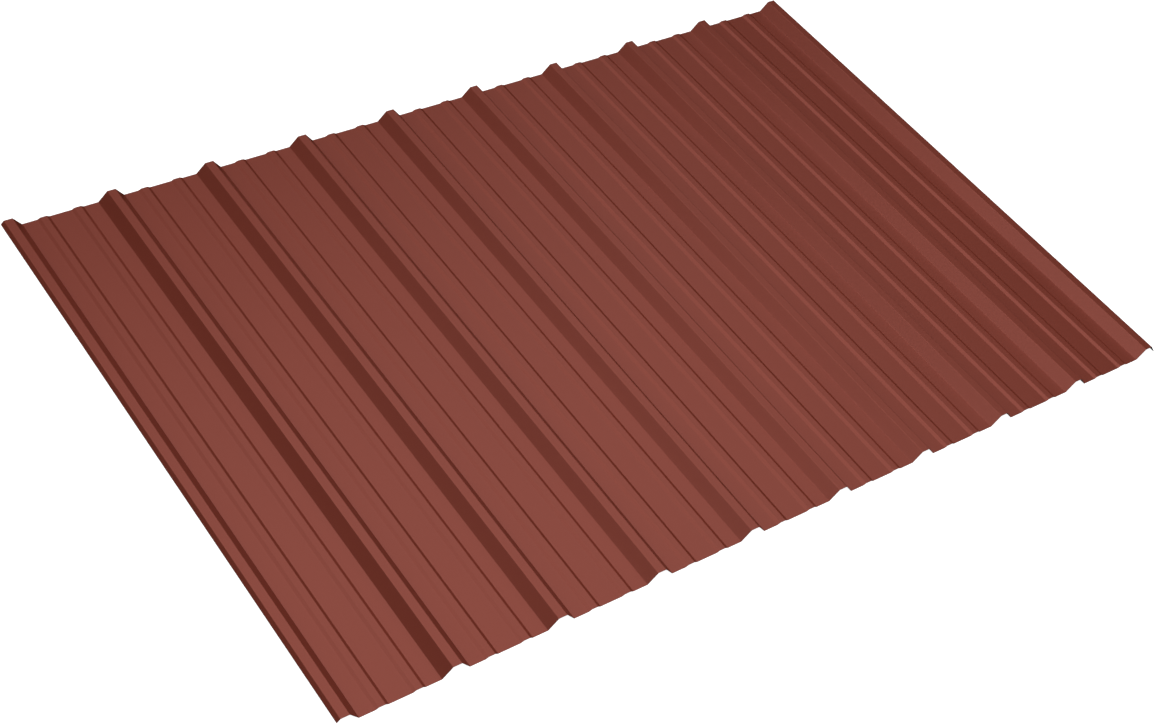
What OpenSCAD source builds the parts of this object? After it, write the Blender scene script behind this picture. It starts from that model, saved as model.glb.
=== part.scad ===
// Ribbed metal roof panel.
//
// One sheet of painted steel, rolled with high trapezoidal ribs and with low, wide ribs in
// the pans between them. Its left edge laps over the last rib of the sheet beside it, and
// its right edge is lapped by the next. X runs across the ribs, Y along them and Z up.
// The origin is under the middle of the sheet, on the plane that its pans rest on.
// Widths, heights and bend radii are measured at the middle of the sheet's thickness.

/* [Sheet] */
// Thickness of the sheet, with its coatings
gauge = 0.5; // [0.3:0.05:1.5]
// Length of the sheet, along its ribs
sheet_length = 1828.8; // [600:0.1:4000]

/* [High ribs] */
// Number of high ribs
rib_count = 10; // [2:1:12]
// Distance from one high rib to the next
rib_pitch = 304.8; // [200:0.1:400]
// Height of a high rib above the pans
rib_height = 31.75; // [15:0.25:60]
// Width of a high rib where it meets the pans
rib_base = 78.7; // [50:0.1:110]
// Width of a high rib's flat top
rib_top = 25; // [12:0.5:50]
// Radius of a high rib's bends
rib_bend = 3; // [1:0.25:6]

/* [Low ribs] */
// Number of low ribs in each pan
low_rib_count = 2; // [0:1:3]
// Height of a low rib above its pan
low_rib_height = 4.8; // [1:0.1:10]
// Width of a low rib where it meets its pan
low_rib_base = 35.8; // [30:0.1:60]
// Width of a low rib's flat top
low_rib_top = 18.6; // [6:0.1:26]
// Radius of a low rib's bends
low_rib_bend = 6; // [1:0.25:10]

/* [Edges] */
// How far the left edge comes down from the top of its rib
overlap_drop = 10.8; // [5:0.1:30]

/* [Fineness] */
// Flat strips in each bend
bend_steps = 4; // [2:1:8]

/* [Hidden] */
low_rib_pitch = rib_pitch / (low_rib_count + 1);

// The four corners of a rib centred on x, each with the radius of its bend.
function rib_corners(x, base, top, height, bend) = [
    [x - base / 2, 0, bend],
    [x - top / 2, height, bend],
    [x + top / 2, height, bend],
    [x + base / 2, 0, bend]
];

// A high rib, and the low ribs of the pan to its right, which the last rib doesn't have.
function high_rib(i) = rib_corners(i * rib_pitch, rib_base, rib_top, rib_height, rib_bend);
function low_rib(x) = rib_corners(x, low_rib_base, low_rib_top, low_rib_height, low_rib_bend);
function pan(i) = [
    if (i < rib_count - 1)
        for (j = [1 : 1 : low_rib_count])
            each low_rib(i * rib_pitch + j * low_rib_pitch)
];

// The corners of the whole section, from left to right, with both flanks of every rib whole.
whole_corners = [
    for (i = [0 : rib_count - 1])
        each concat(high_rib(i), pan(i))
];

// The left edge stops part of the way down its flank. The right edge keeps its whole flank.
first_top = whole_corners[1];
overlap_edge = first_top + (whole_corners[0] - first_top) * overlap_drop / rib_height;
corners = [
    for (k = [0 : len(whole_corners) - 1])
        k == 0 ? overlap_edge : whole_corners[k]
];

function point(corner) = [corner.x, corner.y];
function unit(v) = v / norm(v);
function left_of(v) = [-v.y, v.x];
function turned(v, angle) = v * cos(angle) + left_of(v) * sin(angle);

// The bend at corner k, on the face that lies side to the left of the middle of the sheet.
// Both faces turn about one centre, so that the sheet keeps its thickness round the bend.
function bend_points(k, side) =
    let (
        inward = unit(point(corners[k]) - point(corners[k - 1])),
        outward = unit(point(corners[k + 1]) - point(corners[k])),
        angle = atan2(cross(inward, outward), inward * outward),
        radius = corners[k].z * sign(angle),
        run_in = corners[k].z * tan(abs(angle) / 2),
        centre = point(corners[k]) - inward * run_in + left_of(inward) * radius
    )
    [
        for (step = [0 : bend_steps])
            centre - turned(left_of(inward), angle * step / bend_steps) * (radius - side)
    ];

// An edge of the sheet is cut square, at corner k, to a flank that runs along direction.
function edge_point(k, direction, side) = point(corners[k]) + left_of(direction) * side;

// One face of the sheet, from its left edge to its right edge.
last = len(corners) - 1;
first_direction = unit(point(corners[1]) - point(corners[0]));
last_direction = unit(point(corners[last]) - point(corners[last - 1]));
function face_points(side) = [
    edge_point(0, first_direction, side),
    for (k = [1 : last - 1])
        each bend_points(k, side),
    edge_point(last, last_direction, side)
];
function reversed(list) = [
    for (k = [len(list) - 1 : -1 : 0])
        list[k]
];

// The outline of the whole section: the upper face, then the lower one back again.
section = concat(face_points(gauge / 2), reversed(face_points(-gauge / 2)));
section_x = [
    for (p = section)
        p.x
];
section_middle = (min(section_x) + max(section_x)) / 2;

module roof_sheet() {
    color("#8a4a40")
    rotate([90, 0, 0])
    linear_extrude(height = sheet_length, center = true)
    translate([-section_middle, gauge / 2])
    polygon(section);
}

roof_sheet();
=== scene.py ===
from math import atan2, hypot, pi, radians, tan

import bmesh
import bpy
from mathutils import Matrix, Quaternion, Vector, noise


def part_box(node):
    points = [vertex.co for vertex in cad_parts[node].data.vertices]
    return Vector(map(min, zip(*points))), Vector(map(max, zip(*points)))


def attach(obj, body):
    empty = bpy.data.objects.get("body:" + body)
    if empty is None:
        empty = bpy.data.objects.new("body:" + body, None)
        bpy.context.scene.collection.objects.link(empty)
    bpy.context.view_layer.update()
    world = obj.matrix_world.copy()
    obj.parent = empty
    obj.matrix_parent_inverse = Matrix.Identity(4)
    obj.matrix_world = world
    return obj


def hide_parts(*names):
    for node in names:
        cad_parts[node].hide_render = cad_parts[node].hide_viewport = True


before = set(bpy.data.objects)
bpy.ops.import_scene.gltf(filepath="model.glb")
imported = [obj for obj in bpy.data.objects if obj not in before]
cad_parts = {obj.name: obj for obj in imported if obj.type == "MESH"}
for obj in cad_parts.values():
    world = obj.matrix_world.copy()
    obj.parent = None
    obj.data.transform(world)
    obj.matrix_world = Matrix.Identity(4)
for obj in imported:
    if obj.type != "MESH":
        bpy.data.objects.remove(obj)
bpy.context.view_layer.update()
print("frame loaded")


# Lengths are in metres, and the lens and its sensor in millimetres.
viewSettings = {
    "place": (-2.974, -2.975, 3.854),
    "aim": (-0.2213, -0.1951, 0.0),
    "roll": 13.92,  # degrees, anticlockwise
    "lens": 62.15,
    "sensor": 36.0,
    "reach": 200,  # how far away the floor is still seen
}


def addCamera(settings):
    data = bpy.data.cameras.new("viewCamera")
    data.lens = settings["lens"]
    data.sensor_width = settings["sensor"]
    data.clip_end = settings["reach"]
    camera = bpy.data.objects.new("viewCamera", data)
    bpy.context.scene.collection.objects.link(camera)
    place = Vector(settings["place"])
    upright = (Vector(settings["aim"]) - place).to_track_quat("-Z", "Y")
    camera.location = place
    camera.rotation_mode = "QUATERNION"
    camera.rotation_quaternion = upright @ Quaternion((0, 0, 1), radians(settings["roll"]))
    bpy.context.scene.camera = camera


addCamera(viewSettings)
print("camera placed")


def newMaterial(name):
    material = bpy.data.materials.new(name)
    material.use_nodes = True
    return material, material.node_tree, material.node_tree.nodes["Principled BSDF"]


def addNode(tree, kind, **settings):
    node = tree.nodes.new(kind)
    for key, value in settings.items():
        setattr(node, key, value)
    return node


def setInputs(node, **values):
    for key, value in values.items():
        node.inputs[key.replace("_", " ")].default_value = value


def makeCoatGroup():
    # The slow drift of a coil coating, the faint lines that rolling leaves along
    # the ribs, and the orange peel of the cured film.
    lineStretch = 0.006  # the lines run along the ribs, which lie along Y
    group = bpy.data.node_groups.new("coilCoating", "ShaderNodeTree")
    for name in ("Drift Scale", "Line Scale", "Peel Scale"):
        group.interface.new_socket(name, in_out="INPUT", socket_type="NodeSocketFloat")
    for name in ("Drift", "Lines", "Peel"):
        group.interface.new_socket(name, in_out="OUTPUT", socket_type="NodeSocketFloat")
    inside = addNode(group, "NodeGroupInput")
    outside = addNode(group, "NodeGroupOutput")
    place = addNode(group, "ShaderNodeTexCoord")
    drift = addNode(group, "ShaderNodeTexNoise")
    setInputs(drift, Detail=2.0, Roughness=0.5)
    group.links.new(place.outputs["Object"], drift.inputs["Vector"])
    group.links.new(inside.outputs["Drift Scale"], drift.inputs["Scale"])
    group.links.new(drift.outputs["Fac"], outside.inputs["Drift"])
    alongRibs = addNode(group, "ShaderNodeMapping")
    alongRibs.inputs["Scale"].default_value = (1.0, lineStretch, 1.0)
    lines = addNode(group, "ShaderNodeTexNoise")
    setInputs(lines, Detail=3.0, Roughness=0.6)
    group.links.new(place.outputs["Object"], alongRibs.inputs["Vector"])
    group.links.new(alongRibs.outputs["Vector"], lines.inputs["Vector"])
    group.links.new(inside.outputs["Line Scale"], lines.inputs["Scale"])
    group.links.new(lines.outputs["Fac"], outside.inputs["Lines"])
    peel = addNode(group, "ShaderNodeTexNoise")
    setInputs(peel, Detail=1.0, Roughness=0.4)
    group.links.new(place.outputs["Object"], peel.inputs["Vector"])
    group.links.new(inside.outputs["Peel Scale"], peel.inputs["Scale"])
    group.links.new(peel.outputs["Fac"], outside.inputs["Peel"])
    return group


coilCoating = makeCoatGroup()


noiseSpan = (0.25, 0.75)  # where nearly all of a noise mask lies


def spread(tree, source, low, high):
    # Carries a noise mask onto the range from low to high.
    node = addNode(tree, "ShaderNodeMapRange")
    setInputs(node, From_Min=noiseSpan[0], From_Max=noiseSpan[1], To_Min=low, To_Max=high)
    tree.links.new(source, node.inputs["Value"])
    return node.outputs["Result"]


def coatedMetal(name, look):
    material, tree, shader = newMaterial(name)
    coat = addNode(tree, "ShaderNodeGroup", node_tree=coilCoating)
    setInputs(coat, Drift_Scale=look["driftScale"], Line_Scale=look["lineScale"])
    setInputs(coat, Peel_Scale=look["peelScale"])
    tone = addNode(tree, "ShaderNodeMix", data_type="RGBA")
    tone.inputs["A"].default_value = (*look["darkTone"], 1)
    tone.inputs["B"].default_value = (*look["lightTone"], 1)
    mottle = addNode(tree, "ShaderNodeMath", operation="ADD")
    tree.links.new(spread(tree, coat.outputs["Drift"], 0, look["driftShare"]), mottle.inputs[0])
    tree.links.new(spread(tree, coat.outputs["Lines"], 0, 1 - look["driftShare"]), mottle.inputs[1])
    tree.links.new(mottle.outputs["Value"], tone.inputs["Factor"])
    tree.links.new(tone.outputs["Result"], shader.inputs["Base Color"])
    rough = spread(tree, mottle.outputs["Value"], look["roughness"][0], look["roughness"][1])
    tree.links.new(rough, shader.inputs["Roughness"])
    bump = addNode(tree, "ShaderNodeBump")
    setInputs(bump, Strength=look["peelStrength"], Distance=look["peelDepth"])
    tree.links.new(coat.outputs["Peel"], bump.inputs["Height"])
    tree.links.new(bump.outputs["Normal"], shader.inputs["Normal"])
    shader.inputs["Metallic"].default_value = look["metallic"]
    shader.inputs["Specular IOR Level"].default_value = look["specular"]
    return material


weatherCoat = {
    "darkTone": (0.1870, 0.0314, 0.0163),
    "lightTone": (0.1978, 0.0332, 0.0173),
    "driftScale": 1.3,
    "driftShare": 0.8,  # the rest of the mottle is lines
    "lineScale": 160.0,
    "peelScale": 520.0,
    "roughness": (0.359, 0.371),
    "peelStrength": 0.25,
    "peelDepth": 0.00004,
    "metallic": 0.41,
    "specular": 0.49,
}
backerCoat = {
    "darkTone": (0.185, 0.185, 0.175),
    "lightTone": (0.215, 0.215, 0.205),
    "driftScale": 2.0,
    "driftShare": 0.8,
    "lineScale": 110.0,
    "peelScale": 380.0,
    "roughness": (0.45, 0.55),
    "peelStrength": 0.3,
    "peelDepth": 0.00005,
    "metallic": 0.0,
    "specular": 0.4,
}
redPaint = coatedMetal("redPaint", weatherCoat)
greyBacker = coatedMetal("greyBacker", backerCoat)

shearedEdge = {
    "brightSteel": (0.62, 0.63, 0.64),
    "dullZinc": (0.38, 0.39, 0.41),
    "grainScale": 900.0,
    "markHeight": 0.15,  # the grain's scale up the edge, against its scale along it
    "roughness": (0.28, 0.5),
}


def makeShearedSteel(look):
    # Bare metal where the sheet was cut: fine upright marks of the shear.
    material, tree, shader = newMaterial("shearedSteel")
    place = addNode(tree, "ShaderNodeTexCoord")
    upright = addNode(tree, "ShaderNodeMapping")
    upright.inputs["Scale"].default_value = (1.0, 1.0, look["markHeight"])
    grain = addNode(tree, "ShaderNodeTexNoise")
    setInputs(grain, Scale=look["grainScale"], Detail=2.0)
    tree.links.new(place.outputs["Object"], upright.inputs["Vector"])
    tree.links.new(upright.outputs["Vector"], grain.inputs["Vector"])
    tone = addNode(tree, "ShaderNodeMix", data_type="RGBA")
    tone.inputs["A"].default_value = (*look["dullZinc"], 1)
    tone.inputs["B"].default_value = (*look["brightSteel"], 1)
    tree.links.new(spread(tree, grain.outputs["Fac"], 0, 1), tone.inputs["Factor"])
    tree.links.new(tone.outputs["Result"], shader.inputs["Base Color"])
    rough = spread(tree, grain.outputs["Fac"], look["roughness"][0], look["roughness"][1])
    tree.links.new(rough, shader.inputs["Roughness"])
    shader.inputs["Metallic"].default_value = 1.0
    return material


shearedSteel = makeShearedSteel(shearedEdge)
print("materials made")


sheet = {
    # widths, heights and bend radii are those of the middle of the sheet's thickness
    "length": 1.8288,
    "gauge": 0.0005,
    "ribCount": 10,
    "ribPitch": 0.3048,
    "highRib": {"base": 0.0787, "top": 0.025, "height": 0.03175, "bend": 0.0015},
    "lowRibCount": 2,
    "lowRib": {"base": 0.0358, "top": 0.0186, "height": 0.0048, "bend": 0.0025},
    "overlapDrop": 0.0108,  # how far the left edge comes down from the top of its rib
    "bendSegments": 4,
    "stripWidth": 0.017,  # about how wide the strips are that a flat is divided into
    "bendGuard": 0.0008,  # a narrow strip beside each bend keeps the flats flat
    "cutsAlong": 35,
}
panWave = {
    "rise": 0.0002,  # how far a pan rises out of true, at most
    "across": 4.0,
    "along": 2.2,
    "fade": 0.002,  # the height above a pan where it has died away
    "seed": 7.0,
}


def runIn(kind):
    # How far from a corner its bend starts.
    rib = sheet[kind]
    turn = atan2(rib["height"], (rib["base"] - rib["top"]) / 2)
    return rib["bend"] * tan(turn / 2)


def ribCorners(middle, kind):
    # A corner is its place across, its height, and the kind of rib that it is a fold of.
    rib = sheet[kind]
    return [
        (middle - rib["base"] / 2, 0.0, kind),
        (middle - rib["top"] / 2, rib["height"], kind),
        (middle + rib["top"] / 2, rib["height"], kind),
        (middle + rib["base"] / 2, 0.0, kind),
    ]


def sectionCorners():
    pitch = sheet["ribPitch"]
    corners = []
    for i in range(sheet["ribCount"]):
        corners += ribCorners(i * pitch, "highRib")
        if i < sheet["ribCount"] - 1:
            for j in range(1, sheet["lowRibCount"] + 1):
                corners += ribCorners((i + j / (sheet["lowRibCount"] + 1)) * pitch, "lowRib")

    # The left edge stops part of the way down its flank. Neither edge is a fold.
    topHeight = sheet["highRib"]["height"]
    foot, shoulder = corners[0], corners[1]
    x = shoulder[0] + (foot[0] - shoulder[0]) * sheet["overlapDrop"] / topHeight
    corners[0] = (x, topHeight - sheet["overlapDrop"], None)
    corners[-1] = (corners[-1][0], 0.0, None)
    return corners


def bendReach(kind):
    # How much of a flat beside a corner its bend and the narrow strip take up.
    return runIn(kind) + sheet["bendGuard"] if kind else 0.0


def stripPlaces(start, end):
    # Where to divide the flat between two corners, as shares of its length.
    length = hypot(end[0] - start[0], end[1] - start[1])
    first = bendReach(start[2])
    final = length - bendReach(end[2])
    count = max(1, round((final - first) / sheet["stripWidth"]))
    places = [first + (final - first) * k / count for k in range(count + 1)]
    return [p / length for p in places if 0.0 < p < length]


def panLift(place):
    # Thin pans are never quite flat: each rises and falls a little along its length.
    height = max(0.0, place.z - sheet["gauge"])
    mask = max(0.0, 1.0 - height / panWave["fade"])
    swell = noise.noise(Vector((place.x * panWave["across"], place.y * panWave["along"], panWave["seed"])))
    return panWave["rise"] * (0.5 + 0.5 * swell) * mask


def drawSection(bm):
    # Draws one line across the near end of the sheet, and gives the points to fold at.
    nearEnd = -sheet["length"] / 2
    middle = sheet["gauge"] / 2
    corners = sectionCorners()
    folds = {"highRib": [], "lowRib": []}
    before = None
    for k, corner in enumerate(corners):
        stops = [bm.verts.new((corner[0], nearEnd, corner[1] + middle))]
        if corner[2]:
            folds[corner[2]].append(stops[0])
        if k < len(corners) - 1:
            after = corners[k + 1]
            for share in stripPlaces(corner, after):
                x = corner[0] + (after[0] - corner[0]) * share
                z = corner[1] + (after[1] - corner[1]) * share
                stops.append(bm.verts.new((x, nearEnd, z + middle)))
        for vert in stops:
            if before:
                bm.edges.new((before, vert))
            before = vert
    return folds


def makeRoofSheet():
    bm = bmesh.new()
    folds = drawSection(bm)

    # The section is drawn out along the ribs, then every fold gets its bend.
    drawn = bmesh.ops.extrude_edge_only(bm, edges=bm.edges[:])["geom"]
    farVerts = [g for g in drawn if isinstance(g, bmesh.types.BMVert)]
    bmesh.ops.translate(bm, verts=farVerts, vec=(0, sheet["length"], 0))
    for kind, verts in folds.items():
        foldLines = [e for v in verts for e in v.link_edges if e.other_vert(v).co.y > 0]
        bmesh.ops.bevel(
            bm, geom=foldLines, offset=runIn(kind), offset_type="OFFSET", affect="EDGES",
            segments=sheet["bendSegments"], profile=0.5, material=-1, clamp_overlap=False,
        )

    alongRibs = [e for e in bm.edges if abs(e.verts[0].co.y - e.verts[1].co.y) > sheet["length"] / 2]
    bmesh.ops.subdivide_edges(bm, edges=alongRibs, cuts=sheet["cutsAlong"], use_grid_fill=True)
    bmesh.ops.recalc_face_normals(bm, faces=bm.faces[:])
    upward = sum(f.normal.z * f.calc_area() for f in bm.faces)
    if upward < 0:
        bmesh.ops.reverse_faces(bm, faces=bm.faces[:])

    for vert in bm.verts:
        vert.co.z += panLift(vert.co)

    # The section is laid out from its first rib, so the sheet is now centred where the frame has it.
    left = min(v.co.x for v in bm.verts)
    right = max(v.co.x for v in bm.verts)
    lowest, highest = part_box("roof_sheet")
    offset = (lowest[0] + highest[0]) / 2 - (left + right) / 2
    bmesh.ops.translate(bm, verts=bm.verts[:], vec=(offset, 0, 0))

    for face in bm.faces:
        face.smooth = True
    for edge in bm.edges:
        edge.smooth = not edge.is_boundary  # a cut edge stays crisp
    mesh = bpy.data.meshes.new("roofSheet")
    bm.to_mesh(mesh)
    bm.free()
    for material in (redPaint, greyBacker, shearedSteel):
        mesh.materials.append(material)
    piece = bpy.data.objects.new("roofSheet", mesh)
    bpy.context.scene.collection.objects.link(piece)
    wall = piece.modifiers.new("gauge", "SOLIDIFY")
    wall.thickness = sheet["gauge"]
    wall.offset = 0.0
    wall.use_even_offset = True
    wall.material_offset = 1
    wall.material_offset_rim = 2
    return piece


roofSheet = makeRoofSheet()
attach(roofSheet, "root")
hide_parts("roof_sheet")
print("roof sheet made")


stage = {
    "floorSize": 300.0,
    "floorTone": (0.4, 0.4, 0.4),
    "floorGlow": (0.97, 0.97, 0.97),
    "backdrop": 0.97,
}
softboxes = {
    # the middle of each panel, its width and height, the way it faces, and its brightness
    "overheadCore": {
        "centre": (-0.36, -4.73, 4.34), "size": (8.80, 17.36), "facing": (0, 0, -1), "brightness": 0.885,
    },
    "overheadEdge": {
        "centre": (0.36, -3.39, 4.35), "size": (10.23, 20.03), "facing": (0, 0, -1), "brightness": 0.633,
    },
    "sideSoftbox": {
        "centre": (-6.85, -0.73, 4.78), "size": (13.22, 4.23), "facing": (1, 0, 0), "brightness": 1.246,
    },
}


def addFloor(settings):
    bm = bmesh.new()
    bmesh.ops.create_grid(bm, x_segments=1, y_segments=1, size=settings["floorSize"] / 2)
    mesh = bpy.data.meshes.new("studioFloor")
    bm.to_mesh(mesh)
    bm.free()
    material, tree, shader = newMaterial("studioFloor")
    shader.inputs["Base Color"].default_value = (*settings["floorTone"], 1)
    shader.inputs["Roughness"].default_value = 0.9
    shader.inputs["Specular IOR Level"].default_value = 0.0
    shader.inputs["Emission Color"].default_value = (*settings["floorGlow"], 1)
    path = addNode(tree, "ShaderNodeLightPath")  # the part doesn't catch the glow
    tree.links.new(path.outputs["Is Camera Ray"], shader.inputs["Emission Strength"])
    mesh.materials.append(material)
    floor = bpy.data.objects.new("studioFloor", mesh)
    bpy.context.scene.collection.objects.link(floor)
    floor.visible_glossy = False  # the floor isn't reflected in the paint


def addSoftbox(name, box):
    # A wide panel of even light.
    light = bpy.data.lights.new(name, "AREA")
    light.shape = "RECTANGLE"
    light.size, light.size_y = box["size"]
    light.energy = box["brightness"] * pi * light.size * light.size_y
    lamp = bpy.data.objects.new(name, light)
    lamp.location = box["centre"]
    lamp.rotation_mode = "QUATERNION"
    lamp.rotation_quaternion = Vector(box["facing"]).to_track_quat("-Z", "Y")
    lamp.visible_camera = False
    bpy.context.scene.collection.objects.link(lamp)


def setBackdrop(brightness):
    # A pale backdrop that is only looked at: it sheds no light on the part.
    world = bpy.data.worlds.new("studio")
    world.use_nodes = True
    tree = world.node_tree
    background = tree.nodes["Background"]
    background.inputs["Strength"].default_value = brightness
    path = addNode(tree, "ShaderNodeLightPath")
    tree.links.new(path.outputs["Is Camera Ray"], background.inputs["Color"])
    bpy.context.scene.world = world


addFloor(stage)
for boxName, box in softboxes.items():
    addSoftbox(boxName, box)
setBackdrop(stage["backdrop"])
bpy.context.scene.view_settings.view_transform = "Standard"
print("stage lit")
